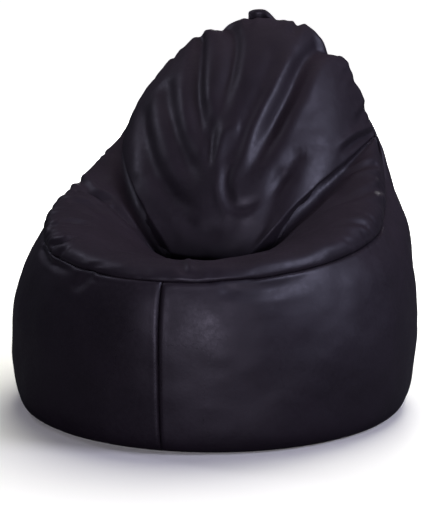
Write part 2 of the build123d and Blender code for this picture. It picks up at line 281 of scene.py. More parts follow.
REAR = RearSeam(Vector(SHAPE.rear_arc()[0]) * MM, SHAPE.rear_arc()[1] * MM)


def place(net: str, up: np.ndarray, along: np.ndarray) -> np.ndarray:
    """Points of a patch, in millimetres. A negative along is the -X half.

    Args:
        net: The patch's name.
        up: Places across the rows, from 0 to 1.
        along: Places along the rows, from -1 to 1.

    Returns:
        One row of x, y, z for each place.
    """
    up, along = np.broadcast_arrays(np.asarray(up, float), np.asarray(along, float))
    points = np.einsum(
        "ni,nj,ijk->nk", bernstein(3, up.ravel()), bernstein(3, np.abs(along).ravel()), NETS[net]
    )
    points[:, 0] *= np.where(along.ravel() < 0, -1.0, 1.0)
    return points


# ---- small helpers ------------------------------------------------------------------
def smoothstep(low: float, high: float, at: np.ndarray) -> np.ndarray:
    """0 below low, 1 above high, and a smooth rise between."""
    t = np.clip((np.asarray(at, float) - low) / (high - low), 0, 1)
    return t * t * (3 - 2 * t)


def read_points(mesh: bpy.types.Mesh) -> np.ndarray:
    """The mesh's vertices, as rows."""
    co = np.zeros(len(mesh.vertices) * 3, np.float64)
    mesh.vertices.foreach_get("co", co)
    return co.reshape(-1, 3)


def read_normals(mesh: bpy.types.Mesh) -> np.ndarray:
    """The mesh's vertex normals, as rows."""
    normals = np.zeros(len(mesh.vertices) * 3, np.float64)
    mesh.vertices.foreach_get("normal", normals)
    return normals.reshape(-1, 3)


def write_points(mesh: bpy.types.Mesh, points: np.ndarray) -> None:
    """Moves the mesh's vertices."""
    mesh.vertices.foreach_set("co", points.ravel())
    mesh.update()


def add_object(name: str, mesh: bpy.types.Mesh) -> bpy.types.Object:
    """Links a mesh into the scene."""
    obj = bpy.data.objects.new(name, mesh)
    bpy.context.scene.collection.objects.link(obj)
    return obj


def mesh_from(name: str, bm: bmesh.types.BMesh, smooth: bool = True) -> bpy.types.Mesh:
    """Writes a bmesh to a new mesh and frees it.

    Args:
        name: The mesh's name.
        bm: The bmesh.
        smooth: Whether its faces shade smooth.

    Returns:
        The new mesh.
    """
    for face in bm.faces:
        face.smooth = smooth
    mesh = bpy.data.meshes.new(name)
    bm.to_mesh(mesh)
    bm.free()
    return mesh


def baked(obj: bpy.types.Object) -> bpy.types.Mesh:
    """A new mesh with the object's modifiers applied."""
    graph = bpy.context.evaluated_depsgraph_get()
    return bpy.data.meshes.new_from_object(obj.evaluated_get(graph), depsgraph=graph)


# ---- folds --------------------------------------------------------------------------
@dataclass(frozen=True)
class Fold:
    """A crease or a ridge that runs along a panel.

    The path is in the patch's own places: (along, up), each a fraction. The depth is in
    millimetres, and is negative for a ridge. The lips stand up beside it, as shares of the
    depth, on the -along and +along sides.
    """

    net: str
    path: tuple
    depth: float
    width: float
    end_width: float = 0.0
    lips: tuple[float, float] = (0.35, 0.35)
    fade: tuple[float, float] = (0.12, 0.35)
    lip_at: ClassVar[float] = 1.75  # in widths out from the path
    lip_half: ClassVar[float] = 0.8  # in widths
    reach_in_widths: ClassVar[float] = 3.2
    steps_per_knot: ClassVar[int] = 40

    def line(self) -> np.ndarray:
        """The path on the surface, as points in millimetres, smooth through its points."""
        knots = np.array([self.path[0], *self.path, self.path[-1]], float)
        out = []
        for a, b, c, d in zip(knots, knots[1:], knots[2:], knots[3:]):
            t = np.linspace(0, 1, self.steps_per_knot, endpoint=False)[:, None]
            out.append(0.5 * (2 * b + (c - a) * t + (2 * a - 5 * b + 4 * c - d) * t**2
                              + (3 * b - a - 3 * c + d) * t**3))
        places = np.concatenate([*out, knots[-1:]])
        return place(self.net, places[:, 1], places[:, 0])

    def press(self, points: np.ndarray, normals: np.ndarray, mask: np.ndarray) -> np.ndarray:
        """How far the fold moves each point along its normal.

        Args:
            points: The skin's points.
            normals: Their normals.
            mask: Which points the panel holds.

        Returns:
            One distance for each point, in millimetres.
        """
        line = self.line()
        end_width = self.end_width or self.width
        reach = self.reach_in_widths * max(self.width, end_width)
        low, high = line.min(0) - reach, line.max(0) + reach
        near = mask & np.all(points > low, 1) & np.all(points < high, 1)
        moved = np.zeros(len(points))
        index = np.flatnonzero(near)
        if not len(index):
            return moved
        away = points[index, None, :] - line[None, :, :]
        square = (away**2).sum(2)
        closest = square.argmin(1)
        rows = np.arange(len(index))
        off, best = away[rows, closest], np.sqrt(square[rows, closest])
        across = np.cross(normals[index], np.gradient(line, axis=0)[closest])
        side = np.sign((across * off).sum(1))
        at = closest / (len(line) - 1)
        width = self.width + (end_width - self.width) * at
        strength = np.ones(len(at))
        if self.fade[1] > 0:
            strength -= smoothstep(1 - self.fade[1], 1, at)
        if self.fade[0] > 0:
            strength *= smoothstep(0, self.fade[0], at)
        x = best / width
        lip = np.where(side > 0, self.lips[0], self.lips[1])
        shape = -np.exp(-(x**2)) + lip * np.exp(-(((x - self.lip_at) / self.lip_half) ** 2))
        moved[index] = self.depth * strength * shape
        return moved


@dataclass(frozen=True)
class Dent:
    """A round push at one place, along a direction or, without one, along the normal."""

    net: str
    at: tuple[float, float]
    depth: float
    radius: float
    push: tuple[float, float, float] | None = None

    def move(self, points: np.ndarray, normals: np.ndarray) -> np.ndarray:
        """How far each point moves, as vectors in millimetres."""
        centre = place(self.net, self.at[1], self.at[0])[0]
        weight = np.exp(-(((points - centre) ** 2).sum(1)) / self.radius**2)
        way = normals if self.push is None else -unit(self.push)
        return -self.depth * weight[:, None] * way


BACK_FOLDS = (
    Fold("back", ((-0.33, 0.97), (-0.29, 0.74), (-0.25, 0.58), (-0.17, 0.44), (-0.06, 0.36)),
         15, 19, 22, (0.06, 0.06), (0.0, 0.4)),
    Fold("back", ((-0.19, 0.99), (-0.11, 0.82), (-0.07, 0.66), (-0.04, 0.46)),
         17, 20, 18, (0.04, 0.06), (0.0, 0.35)),
    Fold("back", ((0.36, 0.99), (0.33, 0.80), (0.36, 0.64), (0.36, 0.50), (0.32, 0.32)),
         25, 25, 20, (0.10, 0.0), (0.0, 0.3)),
    Fold("back", ((0.12, 0.80), (0.17, 0.66), (0.18, 0.48), (0.12, 0.38), (0.08, 0.30)),
         4, 22, 16, (0.05, 0.05)),
    Fold("back", ((-0.50, 0.78), (-0.46, 0.62), (-0.39, 0.46), (-0.28, 0.34), (-0.14, 0.28)),
         10, 20, 21, (0.06, 0.05)),
    Fold("back", ((-0.68, 0.80), (-0.67, 0.56), (-0.62, 0.40), (-0.50, 0.28), (-0.30, 0.21),
                  (-0.10, 0.18)),
         10, 23, 21, (0.05, 0.06)),
    Fold("back", ((-0.52, 0.21), (-0.28, 0.14), (-0.05, 0.12), (0.24, 0.12)),
         6, 15, 17, (0.1, 0.1), (0.35, 0.35)),
    Fold("back", ((0.10, 0.34), (0.12, 0.27), (0.24, 0.22), (0.42, 0.24), (0.52, 0.31)),
         6, 11, 13, (0.2, 0.45)),
    Fold("back", ((0.64, 0.53), (0.62, 0.42), (0.60, 0.30)), 6, 17, 17, (0.1, 0.1)),
    Fold("back", ((-0.08, 0.50), (-0.09, 0.40), (-0.08, 0.32)), 6, 13, 13, (0.1, 0.1), (0.3, 0.3)),
    Fold("back", ((0.60, 0.44), (0.66, 0.30), (0.76, 0.16), (0.84, 0.06)), 7, 24, 26, (0.1, 0.1)),
    Fold("back", ((0.97, 0.985), (0.92, 0.86), (0.90, 0.72)), 9, 9, 11, (0.1, 0.6), (0.0, 0.5)),
)
BACK_RIDGES = (
    Fold("back", ((0.25, 0.80), (0.25, 0.60), (0.23, 0.46), (0.23, 0.36), (0.18, 0.29)),
         -5, 17, 13, (0.0, 0.0)),
    Fold("back", ((0.14, 0.46), (0.02, 0.43), (-0.02, 0.36), (-0.01, 0.30)),
         -5, 14, 12, (0.0, 0.0)),
    Fold("back", ((-0.26, 0.92), (-0.22, 0.66), (-0.14, 0.50)), -4, 14, 15, (0.0, 0.0)),
)
SEAT_FOLDS = (
    Fold("seat", ((0.01, 0.42), (0.05, 0.16), (0.08, 0.01)), 6, 10, 9, (0.5, 0.3)),
    Fold("seat", ((0.09, 0.42), (0.09, 0.16), (0.09, 0.01)), 5, 8, 8, (0.2, 0.6)),
    Fold("arm", ((-0.33, 0.10), (-0.24, 0.26), (-0.14, 0.46), (-0.17, 0.62)),
         7, 9, 13, (0.4, 0.2), (0.35, 0.3)),
    Fold("arm", ((-0.10, 0.28), (-0.13, 0.44), (-0.15, 0.60)), 8, 10, 12, (0.2, 0.5)),
    Fold("arm", ((-0.13, 0.58), (-0.08, 0.68), (-0.02, 0.76)), 8, 12, 11, (0.3, 0.3)),
    Fold("seat", ((-0.92, 0.30), (-0.97, 0.42), (-0.93, 0.56)), 6, 9, 12, (0.4, 0.3)),
    Fold("seat", ((-0.63, 0.10), (-0.70, 0.34), (-0.73, 0.50)), 6, 7, 11, (0.5, 0.2)),
    Fold("seat", ((-0.49, 0.03), (-0.46, 0.20), (-0.53, 0.38)), 6, 6, 10, (0.5, 0.2)),
    Fold("arm", ((0.66, 0.18), (0.60, 0.40), (0.58, 0.58), (0.60, 0.70)), 6, 10, 12),
    Fold("arm", ((0.48, 0.06), (0.20, 0.36), (0.16, 0.60)), 5, 11, 14),
    Fold("seat", ((0.88, 0.12), (0.85, 0.25), (0.78, 0.38)), 5, 10, 14),
)
WALL_FOLDS = (
    Fold("high_front", ((-0.22, 0.99), (-0.24, 0.95), (-0.30, 0.80)), 6, 12, 14),
    Fold("high_front", ((-0.60, 0.955), (-0.45, 0.935), (-0.30, 0.965)), 6, 9, 9, (0.5, 0.1)),
    Fold("high_front", ((0.15, 0.94), (0.30, 0.91), (0.45, 0.92)), 3, 12, 14),
)
CREST_DENTS = (
    Dent("back", (-0.215, 1.0), 17, 13, (0.15, 0.2, -1.0)),
    Dent("back", (0.40, 1.0), 30, 17, (-0.35, 0.2, -1.0)),
    Dent("back", (0.24, 1.0), -9, 34, (0.3, 0.1, -1.0)),
    Dent("back", (-0.34, 1.0), -7, 32, (0.3, 0.1, -1.0)),
    Dent("back", (0.54, 1.0), -8, 30, (-0.5, 0.1, -1.0)),
    Dent("back", (0.72, 1.0), -6, 26, (-0.8, 0.1, -0.7)),
    Dent("back", (0.63, 1.0), 5, 12, (-0.7, 0.1, -0.7)),
)
CORNER_DENTS = (
    Dent("high_front", (-0.45, 0.98), -5, 26),
    Dent("seat", (-0.50, 0.05), -5, 26),
)


def puckers(seed: int = 7) -> list[Fold]:
    """The short gathers that run off the crest seam, deepest at the -X corner.

    Args:
        seed: The seed of their uneven spacing.

    Returns:
        Folds on the seat and arms, and shorter ones on the wall below.
    """
    rng = np.random.default_rng(seed)
    folds = []
    stretches = (  # net, wall net, first, last, spacing, depth, length
        ("seat", "high_front", -0.99, -0.40, 0.042, 4.5, 0.46),
        ("arm", "high_side", -0.66, -0.02, 0.095, 4.5, 0.44),
        ("arm", "high_side", 0.05, 0.75, 0.110, 2.4, 0.34),
        ("seat", "high_front", 0.70, 0.98, 0.055, 2.4, 0.34),
        ("seat", "high_front", -0.34, 0.62, 0.090, 1.2, 0.16),
    )
    for net, wall, first, last, spacing, depth, length in stretches:
        at = first
        while at < last:
            size = depth * rng.uniform(0.4, 1.3)
            reach = length * rng.uniform(0.45, 1.25)
            lean = rng.uniform(-0.4, 1.4) * spacing
            bend = rng.uniform(-0.3, 0.3) * spacing
            path = ((at, 0.0), (at + bend + lean / 2, reach / 2), (at + lean, reach))
            folds.append(Fold(net, path, size, 5.0, 9.0, (0.5, 0.3), (0.0, 0.75)))
            drop = 0.08 * rng.uniform(0.5, 1.2)
            path = ((at, 1.0), (at + bend, 1 - drop / 2), (at - lean / 2, 1 - drop))
            folds.append(Fold(wall, path, 0.6 * size, 5.0, 8.0, (0.4, 0.4), (0.0, 0.7)))
            at += spacing * rng.uniform(0.6, 1.5)
    return folds


def head_gathers(seed: int = 3) -> list[Fold]:
    """The small pleats where the backrest is gathered into the seam over the head.

    Args:
        seed: The seed of their uneven spacing.

    Returns:
        Folds on the back panel and on the wall behind it.
    """
    rng = np.random.default_rng(seed)
    folds = []
    for at in (-0.82, -0.64, -0.49, -0.33, -0.05, 0.07, 0.18, 0.56, 0.80):
        size = (4.5 if abs(at) < 0.5 else 3.0) * rng.uniform(0.6, 1.3)
        lean = rng.uniform(-0.04, 0.04)
        drop = rng.uniform(0.10, 0.24)
        path = ((at, 1.0), (at + lean / 2, 1 - drop / 2), (at + lean, 1 - drop))
        folds.append(Fold("back", path, size, 8.0, 12.0, (0.5, 0.5), (0.0, 0.6)))
        wall_at = math.copysign(1 - abs(at), at)
        drop = rng.uniform(0.05, 0.16)
        path = ((wall_at, 1.0), (wall_at + lean, 1 - drop))
        folds.append(Fold("high_rear", path, 0.8 * size, 8.0, 13.0, (0.5, 0.5), (0.0, 0.6)))
    return folds


# ---- finishes -----------------------------------------------------------------------
def linear(hex_colour: str) -> tuple[float, float, float, float]:
    """An sRGB hex colour as linear red, green, blue and alpha.

    Args:
        hex_colour: Six hex digits.

    Returns:
        The four values.
    """
    parts = [int(hex_colour[i:i + 2], 16) / 255 for i in (0, 2, 4)]
    red, green, blue = (p / 12.92 if p <= 0.04045 else ((p + 0.055) / 1.055) ** 2.4 for p in parts)
    return red, green, blue, 1.0


def add_node(tree: bpy.types.NodeTree, kind: str, links: dict | None = None,
             **settings: object) -> bpy.types.Node:
    """Adds a node, with its settings, its inputs' values and its links.

    Args:
        tree: The node tree.
        kind: The node's type.
        links: What each input takes: an output socket, or a plain value.
        settings: The node's own properties.

    Returns:
        The new node.
    """
    node = tree.nodes.new(kind)
    for name, value in settings.items():
        setattr(node, name, value)
    for name, value in (links or {}).items():
        if isinstance(value, bpy.types.NodeSocket):
            tree.links.new(value, node.inputs[name])
        else:
            node.inputs[name].default_value = value
    return node


def new_material(name: str) -> tuple[bpy.types.Material, bpy.types.NodeTree, bpy.types.Node]:
    """A material with only its shader and output.

    Args:
        name: The material's name.

    Returns:
        The material, its node tree and its shader.
    """
    material = bpy.data.materials.new(name)
    material.use_nodes = True
    tree = material.node_tree
    tree.nodes.clear()
    shader = add_node(tree, "ShaderNodeBsdfPrincipled")
    add_node(tree, "ShaderNodeOutputMaterial", {"Surface": shader.outputs["BSDF"]},
             name="Material Output")
    return material, tree, shader


def blend(tree: bpy.types.NodeTree, share: bpy.types.NodeSocket, low: str,
          high: str) -> bpy.types.NodeSocket:
    """Mixes two colours.

    Args:
        tree: The node tree.
        share: How much of the second colour shows.
        low: The colour at 0, as hex.
        high: The colour at 1, as hex.

    Returns:
        The mixed colour's socket.
    """
    mix = add_node(tree, "ShaderNodeMix", {"Factor": share}, data_type="RGBA")
    mix.inputs["A"].default_value = linear(low)
    mix.inputs["B"].default_value = linear(high)
    return mix.outputs["Result"]


@dataclass(frozen=True)
class CoatedLeathercloth:
    """Polyurethane-coated leathercloth, embossed: near black, half gloss, with a fine grain."""

    name: str = "pu_leathercloth_embossed"
    dark: str = "151014"
    light: str = "221b22"
    roughness: tuple[float, float] = (0.47, 0.60)
    grain_mm: float = 3.2  # the real grain is about 1 mm, too fine to show
    grain_depth_mm: float = 0.10

    def make(self) -> bpy.types.Material:
        """The material, all of it in the object's own coordinates."""
        material, tree, shader = new_material(self.name)
        at = add_node(tree, "ShaderNodeTexCoord").outputs["Object"]
        grain = add_node(tree, "ShaderNodeTexVoronoi",
                         {"Vector": at, "Scale": 1000 / self.grain_mm}, feature="F1")
        crease = add_node(tree, "ShaderNodeTexNoise",
                          {"Vector": at, "Scale": 120.0, "Detail": 4.0, "Roughness": 0.6})
        cloud = add_node(tree, "ShaderNodeTexNoise",
                         {"Vector": at, "Scale": 9.0, "Detail": 3.0, "Roughness": 0.55})
        colour = blend(tree, cloud.outputs["Fac"], self.dark, self.light)
        gloss = add_node(tree, "ShaderNodeMapRange", {
            "Value": crease.outputs["Fac"], "From Min": 0.3, "From Max": 0.7,
            "To Min": self.roughness[0], "To Max": self.roughness[1]})
        fine = add_node(tree, "ShaderNodeBump", {
            "Height": grain.outputs["Distance"], "Strength": 0.35,
            "Distance": self.grain_depth_mm * MM})
        soft = add_node(tree, "ShaderNodeBump", {
            "Height": crease.outputs["Fac"], "Strength": 0.5, "Distance": 0.5 * MM,
            "Normal": fine.outputs["Normal"]})
        tree.links.new(colour, shader.inputs["Base Color"])
        tree.links.new(gloss.outputs["Result"], shader.inputs["Roughness"])
        tree.links.new(soft.outputs["Normal"], shader.inputs["Normal"])
        shader.inputs["IOR"].default_value = 1.5
        shader.inputs["Coat Weight"].default_value = 0.06
        shader.inputs["Coat Roughness"].default_value = 0.34
        return material


@dataclass(frozen=True)
class WovenCloth:
    """A plain weave: over and under threads at right angles, matt, with a little fuzz."""

    name: str
    dark: str
    light: str
    thread_mm: float
    roughness: float = 0.8
    sheen: float = 0.2

    def make(self) -> bpy.types.Material:
        """The material, with the weave from two crossed waves."""
        material, tree, shader = new_material(self.name)
        at = add_node(tree, "ShaderNodeTexCoord").outputs["Object"]
        waves = [
            add_node(tree, "ShaderNodeTexWave",
                     {"Vector": at, "Scale": 1000 / self.thread_mm / 20, "Distortion": 0.3},
                     wave_type="BANDS", bands_direction=axis).outputs["Fac"]
            for axis in ("X", "Z")]
        weave = add_node(tree, "ShaderNodeMath", operation="MULTIPLY")
        for wave, socket in zip(waves, weave.inputs):
            tree.links.new(wave, socket)
        colour = blend(tree, weave.outputs[0], self.dark, self.light)
        bump = add_node(tree, "ShaderNodeBump", {
            "Height": weave.outputs[0], "Strength": 0.6, "Distance": 0.3 * MM})
        tree.links.new(colour, shader.inputs["Base Color"])
        tree.links.new(bump.outputs["Normal"], shader.inputs["Normal"])
        shader.inputs["Roughness"].default_value = self.roughness
        shader.inputs["Sheen Weight"].default_value = self.sheen
        return material


def settle(obj: bpy.types.Object, node: str, body: str,
           material: bpy.types.Material) -> None:
    """Dresses a new piece and puts it in the frame.

    Args:
        obj: The piece.
        node: The node that it stands for.
        body: The body that it rides.
        material: Its finish.
    """
    obj.data.materials.clear()
    obj.data.materials.append(material)
    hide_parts(node)
    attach(obj, body)
    log.info("%s: %d faces", obj.name, len(obj.data.polygons))


# ---- the cover ----------------------------------------------------------------------
@dataclass
class Cover:
    """The sewn cover: one skin for its shape, then cut into the five panels."""

    columns: dict = field(default_factory=lambda: {"front": 72, "side": 64, "rear": 72})
    low_rows: int = 12
    high_rows: int = 64
    seat_rows: int = 52
    base_segments: int = 128
    base_insets: tuple = (0.12, 0.2, 0.25, 0.25)
    base_flare: float = 0.997
    weld: float = 0.6
    fold_guard: tuple[float, float] = (0.15, 26.0)  # a fold's share on a seam, and its reach
    seam_depth: float = 3.6
    seam_half: float = 2.8
    seam_crown: float = 0.5
    crown_place: tuple[float, float] = (3.2, 1.6)  # its middle and its half width, in seam halves
    crease_depth: float = 26.0
    crease_half: tuple[float, float] = (6.5, 17.0)  # on the backrest, and on the arms
    crease_fade: tuple[float, float] = (440.0, 520.0)  # heights between which it dies away
    crease_left: float = 0.05  # its share above them
    frames: int = 20
    pressure: float = 3.0
    strip_sides: tuple[float, float] = (34.0, 90.0)  # half widths of the strip kept plain
    strip_top: tuple[float, float] = (600.0, 660.0)
    floor_hold: tuple[float, float] = (2.0, 30.0)
    rear_y: float = 200.0  # what lies behind this is the rear
    zip_sides: tuple[float, float] = (20.0, 40.0)
    zip_reach: tuple[float, float] = (100.0, 600.0)
    seam_start: tuple[float, float] = (4.0, 30.0)
    hold_least: float = 0.22
    hold_reach: float = 14.0
    spare_reach: tuple[float, float, float] = (10.0, 40.0, 110.0)
    weight_steps: int = 50
    swell_cap: float = 9.0
    spare_cloth: float = 0.07
    seam_gap: float = 0.6
    turn_in: float = 6.0
    first_turn: tuple[float, float] = (0.8, 1.0)  # of the hem at the zip, and elsewhere
    slot_half: float = 7.0
    slot_reach: float = 26.0
    slot_end: float = 7.0
    slot_turn_in: float = 2.3
    lean: float = 26.0
    lean_from: float = 575.0
    lean_to: float = 800.0

    def patch(self, bm: bmesh.types.BMesh, net: str, side: int, columns: int, rows: int,
              panel: Panel) -> None:
        """Lays one grid over a patch of the outline.

        Args:
            bm: Where the grid goes.
            net: The patch's name.
            side: 1 for the +X half, -1 for the other.
            columns: Faces along the rows.
            rows: Faces across them.
            panel: The panel that the faces belong to.
        """
        made = bmesh.ops.create_grid(bm, x_segments=columns, y_segments=rows, size=1.0)["verts"]
        flat = np.array([v.co for v in made])
        points = place(net, (flat[:, 1] + 1) / 2, (flat[:, 0] + 1) / 2)
        points[:, 0] *= side
        for vert, point in zip(made, points * MM):
            vert.co = point
        for face in {f for v in made for f in v.link_faces}:
            face.material_index = panel.value

    def skin(self) -> bpy.types.Mesh:
        """The whole skin above the base, its faces marked with their panels."""
        bm = bmesh.new()
        for side, wall in ((1, Panel.RIGHT), (-1, Panel.LEFT)):
            for span in SPANS:
                self.patch(bm, f"low_{span}", side, self.columns[span], self.low_rows, wall)
                self.patch(bm, f"high_{span}", side, self.columns[span], self.high_rows, wall)
            self.patch(bm, "seat", side, self.columns["front"], self.seat_rows, Panel.SEAT)
            self.patch(bm, "arm", side, self.columns["side"], self.seat_rows, Panel.SEAT)
            self.patch(bm, "back", side, self.columns["rear"], self.columns["side"], Panel.BACK)
        bmesh.ops.remove_doubles(bm, verts=bm.verts, dist=self.weld * MM)
        bmesh.ops.recalc_face_normals(bm, faces=bm.faces)
        outward = max(bm.verts, key=lambda v: v.co.y)
        if outward.link_faces[0].normal.y < 0:
            bmesh.ops.reverse_faces(bm, faces=bm.faces)
        return mesh_from("cover_skin", bm)

    @staticmethod
    def panel_masks(mesh: bpy.types.Mesh) -> dict[Panel, np.ndarray]:
        """Which vertices each panel holds. A seam's vertices are in two."""
        loops = np.zeros(len(mesh.loops), np.int32)
        mesh.loops.foreach_get("vertex_index", loops)
        totals = np.zeros(len(mesh.polygons), np.int32)
        mesh.polygons.foreach_get("loop_total", totals)
        marks = np.zeros(len(mesh.polygons), np.int32)
        mesh.polygons.foreach_get("material_index", marks)
        owner = np.repeat(marks, totals)
        masks = {}
        for panel in Panel:
            mask = np.zeros(len(mesh.vertices), bool)
            mask[loops[owner == panel.value]] = True
            masks[panel] = mask
        return masks

    @staticmethod
    def seam_distance(mesh: bpy.types.Mesh, masks: dict[Panel, np.ndarray],
                      crease: bool = False) -> np.ndarray:
        """How far each vertex is from the nearest seam, in millimetres.

        Args:
            mesh: The skin.
            masks: Which vertices each panel holds.
            crease: Whether only the seam round the foot of the backrest counts.

        Returns:
            One distance for each vertex.
        """
        on_seam = sum(mask.astype(int) for mask in masks.values()) > 1
        if crease:
            on_seam &= masks[Panel.SEAT] & masks[Panel.BACK]
        points = read_points(mesh)
        tree = KDTree(int(on_seam.sum()))
        for i in np.flatnonzero(on_seam):
            tree.insert(points[i], int(i))
        tree.balance()
        return np.array([tree.find(p)[2] for p in points]) / MM

    def rear_strip(self, points: np.ndarray) -> np.ndarray:
        """1 on the strip round the zip and on the floor, 0 well clear of them."""
        x, y, z = points.T
        beside = 1 - smoothstep(*self.strip_sides, np.abs(x))
        below = 1 - smoothstep(*self.strip_top, z)
        return np.maximum(beside * below * (y > self.rear_y), 1 - smoothstep(*self.floor_hold, z))

    def sculpt(self, mesh: bpy.types.Mesh) -> None:
        """Presses the folds, gathers and dents into the skin."""
        points, normals = read_points(mesh) / MM, read_normals(mesh)
        masks = self.panel_masks(mesh)
        seam = self.seam_distance(mesh, masks)
        wall = masks[Panel.LEFT] | masks[Panel.RIGHT]
        owner = {"back": masks[Panel.BACK], "seat": masks[Panel.SEAT], "arm": masks[Panel.SEAT]}
        least, reach = self.fold_guard
        guard = least + (1 - least) * smoothstep(0, reach, seam)
        along_normal = np.zeros(len(points))
        for fold in (*BACK_FOLDS, *BACK_RIDGES):
            along_normal += guard * fold.press(points, normals, owner["back"])
        for fold in (*SEAT_FOLDS, *WALL_FOLDS, *puckers(), *head_gathers()):
            along_normal += fold.press(points, normals, owner.get(fold.net, wall))
        keep = 1 - self.rear_strip(points)
        ripples = (  # height, width, where
            (5.0, 95.0, wall), (3.0, 45.0, masks[Panel.SEAT]),
            (1.1, 34.0, wall), (1.2, 30.0, masks[Panel.BACK]))
        for height, width, where in ripples:
            ripple = np.array([noise.noise(Vector(p) / width) for p in points])
            along_normal += height * ripple * where
        moved = normals * (along_normal * keep)[:, None]
        for dent in (*CREST_DENTS, *CORNER_DENTS):
            moved += dent.move(points, normals) * keep[:, None]
        moved[:, 0] += self.lean * smoothstep(self.lean_from, self.lean_to, points[:, 2])
        write_points(mesh, (points + moved) * MM)

    def inflate(self, mesh: bpy.types.Mesh) -> None:
        """Lets the fill press the cover out, as cloth with spare length along its seams.

        Args:
            mesh: The sculpted skin, whose vertices are moved.
        """
        masks = self.panel_masks(mesh)
        seam = self.seam_distance(mesh, masks)
        before = read_points(mesh)
        held = np.maximum(self.rear_strip(before / MM), 1 - smoothstep(0, self.hold_reach, seam))
        hold = np.clip(self.hold_least + held, 0, 1)
        full, start, end = self.spare_reach
        spare = (1 - smoothstep(start, end, seam)) * smoothstep(0, full, seam)
        obj = add_object("cover_inflating", mesh.copy())
        for name, weights in (("hold", hold), ("spare", spare)):
            group = obj.vertex_groups.new(name=name)
            steps = np.round(weights * self.weight_steps).astype(int)
            for step in np.unique(steps):
                held_here = np.flatnonzero(steps == step).tolist()
                group.add(held_here, step / self.weight_steps, "REPLACE")
        modifier = obj.modifiers.new("Cloth", "CLOTH")
        cloth = modifier.settings
        cloth.quality, cloth.mass = 5, 0.3
        cloth.tension_stiffness, cloth.compression_stiffness, cloth.shear_stiffness = 15, 12, 5
        cloth.bending_stiffness = 0.6
        cloth.vertex_group_mass, cloth.pin_stiffness = "hold", 1.0
        cloth.vertex_group_shrink = "spare"
        cloth.shrink_max, cloth.shrink_min = -self.spare_cloth, 0.0
        cloth.use_pressure, cloth.uniform_pressure_force = True, self.pressure
        cloth.effector_weights.gravity = 0.0
        modifier.collision_settings.use_collision = False
        scene = bpy.context.scene
        for tick in range(1, self.frames + 1):
            scene.frame_set(tick)
        swollen = baked(obj)
        moved = read_points(swollen) - before
        size = np.linalg.norm(moved, axis=1, keepdims=True)
        cap = self.swell_cap * MM
        moved *= cap * np.tanh(size / cap) / np.maximum(size, 1e-9)
        log.info("cloth moved up to %.1f mm, kept to %.1f mm", size.max() / MM, self.swell_cap)
        write_points(mesh, before + moved)
        scene.frame_set(1)
        bpy.data.objects.remove(obj)

    def refine(self, mesh: bpy.types.Mesh) -> bpy.types.Mesh:
        """The skin after one level of subdivision."""
        obj = add_object("cover_refining", mesh)
        modifier = obj.modifiers.new("Subdivision", "SUBSURF")
        modifier.levels = modifier.render_levels = 1
        finer = baked(obj)
        bpy.data.objects.remove(obj)
        return finer

    def press_seams(self, mesh: bpy.types.Mesh) -> None:
        """Draws every seam in, with a soft crown on each side of it."""
        points, normals = read_points(mesh) / MM, read_normals(mesh)
        masks = self.panel_masks(mesh)
        seam, crease = (self.seam_distance(mesh, masks, only) for only in (False, True))
        x, y, z = points.T
        depth = self.seam_depth * np.exp(-((seam / self.seam_half) ** 2))
        low_down = 1 - (1 - self.crease_left) * smoothstep(*self.crease_fade, z)
        half = np.where(masks[Panel.BACK], *self.crease_half)
        depth += self.crease_depth * low_down * np.exp(-((crease / half) ** 2))
        middle, crown_half = (share * self.seam_half for share in self.crown_place)
        off = (seam - middle) / crown_half
        crown = self.seam_crown * np.exp(-(off**2))
        beside = 1 - smoothstep(*self.zip_sides, np.abs(x))
        zip_side = beside * (z < self.zip_reach[1]) * (z > self.zip_reach[0]) * (y > self.rear_y)
        keep = smoothstep(*self.seam_start, z) * (1 - zip_side)
        write_points(mesh, (points + normals * ((crown - depth) * keep)[:, None]) * MM)

    def cut(self, mesh: bpy.types.Mesh, panel: Panel, name: str) -> bpy.types.Object:
        """One panel of the skin, with its edges turned in at the seams.

        Args:
            mesh: The whole skin.
            panel: The panel wanted.
            name: The new object's name.

        Returns:
            The panel's object.
        """
        normals = read_normals(mesh)
        bm = bmesh.new()
        bm.from_mesh(mesh)
        index = bm.verts.layers.int.new("skin_index")
        for vert in bm.verts:
            vert[index] = vert.index
        other = [f for f in bm.faces if f.material_index != panel.value]
        bmesh.ops.delete(bm, geom=other, context="FACES")
        rim = [e for e in bm.edges if e.is_boundary]
        rim_verts = {v for e in rim for v in e.verts}
        pulls = {}
        for vert in rim_verts:
            inner = [e.other_vert(vert) for e in vert.link_edges]
            inner = [v.co for v in inner if v not in rim_verts]
            if inner:
                inward = sum(inner, Vector()) / len(inner) - vert.co
                pulls[vert] = inward.normalized() * self.seam_gap * MM
        for vert, pull in pulls.items():
            vert.co += pull
        if panel in (Panel.LEFT, Panel.RIGHT):
            self.open_slot(bm, 1 if panel is Panel.RIGHT else -1)
        at_slot, elsewhere = self.first_turn
        for shallow, deep in ((at_slot, elsewhere),
                              (self.slot_turn_in - at_slot, self.turn_in - elsewhere)):
            made = bmesh.ops.extrude_edge_only(bm, edges=rim)["geom"]
            rim = [g for g in made if isinstance(g, bmesh.types.BMEdge) and g.is_boundary]
            for vert in (g for g in made if isinstance(g, bmesh.types.BMVert)):
                depth = deep + (shallow - deep) * self.slot_share(vert.co)
                vert.co -= Vector(normals[vert[index]]) * depth * MM
        for face in bm.faces:
            face.material_index = 0
        return add_object(name, mesh_from(name, bm))

    def slot_share(self, point: Vector) -> float:
        """1 beside the zip's opening, 0 clear of it, and between them at its ends."""
        if abs(point.x) > self.slot_reach * MM or point.y < 0.2:
            return 0.0
        away = point - REAR.centre
        angle = math.degrees(math.atan2(away.z, away.y))
        low, high = REAR.slot
        inside = min(angle - low, high - angle) * math.radians(1) * REAR.radius / MM
        return float(smoothstep(-1.0, self.slot_end, inside))

